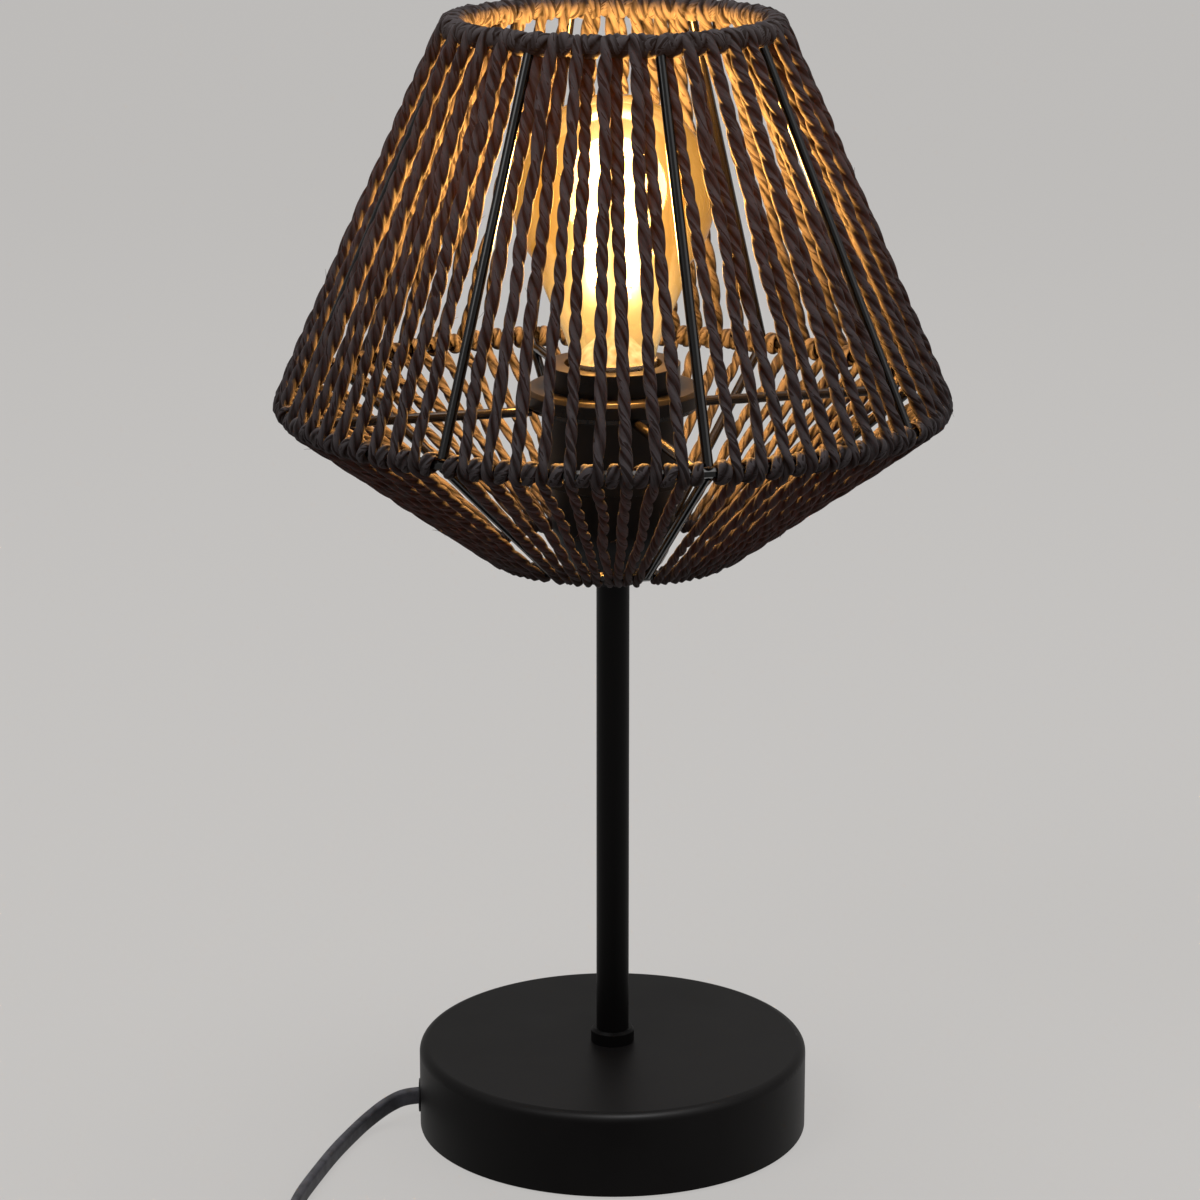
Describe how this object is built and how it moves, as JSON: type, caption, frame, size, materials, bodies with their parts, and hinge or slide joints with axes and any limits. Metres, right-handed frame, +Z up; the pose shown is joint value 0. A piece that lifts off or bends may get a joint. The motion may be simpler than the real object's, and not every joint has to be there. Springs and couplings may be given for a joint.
{
  "type": "bedside lamp",
  "caption": "Bedside lamp with a heavy round base, thin stem, screw lampholder and bulb, and a wide conical shade of dark paper cord strung on a wire frame, with flex, in-line switch and plug.",
  "frame": {"origin": "under the middle of the base, on the table", "axes": "+Z up along the stem, -Y towards the viewer, +X to the right; the flex leaves the base on the -X side"},
  "size_m": [0.2002, 0.3021, 0.3441],
  "materials": {
    "black_paint": "fine matt powder coat, black",
    "cast_weight": "rough cast, unpainted",
    "steel": "zinc plated",
    "foam_pad": "thin foam rubber",
    "soft_black": "soft black plastic, satin",
    "holder_black": "moulded black plastic, semi-gloss",
    "holder_ceramic": "glazed white",
    "brass": "bare pressed sheet",
    "wire_black": "glossy black coating on wire",
    "paper_cord": "twisted charcoal paper cord",
    "bulb_glass": "clear blown glass, faint amber",
    "cap_alu": "pressed thread",
    "cap_insulator": "black glass",
    "filament": "warm phosphor coating",
    "switch_black": "moulded, satin",
    "plug_black": "moulded soft plastic",
    "pin_nickel": "nickel plated brass"
  },
  "bodies": {
    "lamp": {"base_shell": "black_paint", "base_weight": "cast_weight", "base_plate": "steel", "base_pad": "foam_pad", "cord_grommet": "soft_black", "cord_anchor": "plug_black", "stem_tube": "black_paint", "stem_collar": "black_paint", "stem_washer": "steel", "stem_nut": "steel", "inner_flex": "soft_black", "holder_cap": "holder_black", "holder_body": "holder_black", "holder_insert": "holder_ceramic", "screw_shell": "brass", "centre_contact": "brass", "terminals": "brass", "clamp_ring": "holder_black", "fitter_ring": "wire_black", "spokes": "wire_black", "top_ring": "wire_black", "middle_ring": "wire_black", "bottom_ring": "wire_black", "upper_ribs": "wire_black", "lower_ribs": "wire_black", "top_wrap": "paper_cord", "middle_wrap": "paper_cord", "bottom_wrap": "paper_cord", "upper_strands": "paper_cord", "lower_strands": "paper_cord", "switch_lower": "switch_black", "switch_upper": "switch_black", "switch_contacts": "brass", "cord_lead": "soft_black", "cord_link": "soft_black", "cord_coil": "soft_black", "cord_tail": "soft_black", "coil_tie": "plug_black", "plug_body": "plug_black", "plug_relief": "plug_black", "plug_pins": "pin_nickel", "pin_sleeves": "plug_black"},
    "bulb_lift": {"bulb_button": "brass"},
    "bulb": {"bulb_glass": "bulb_glass", "bulb_cap": "cap_alu", "bulb_insulator": "cap_insulator", "glass_mount": "bulb_glass", "filaments": "filament", "filament_wires": "steel"},
    "rocker": {"switch_rocker": "switch_black"}
  },
  "joints": [
    {"name": "bulb_rise", "type": "slide", "parent": "lamp", "child": "bulb_lift", "axis": [0, 0, 1], "range_m": [0, 0.01815]},
    {"name": "bulb_turn", "type": "hinge", "parent": "bulb_lift", "child": "bulb", "pos_m": [0, 0, 0.23], "axis": [0, 0, 1], "range_deg": [0, 1800]},
    {"name": "switch_rock", "type": "hinge", "parent": "lamp", "child": "rocker", "pos_m": [-0.006, -0.1145, 0.011], "axis": [0, 1, 0], "range_deg": [0, 18]}
  ],
  "couplings": [
    {"joint": "bulb_rise", "follows": "bulb_turn", "m_per_rad": 0.00057757}
  ]
}
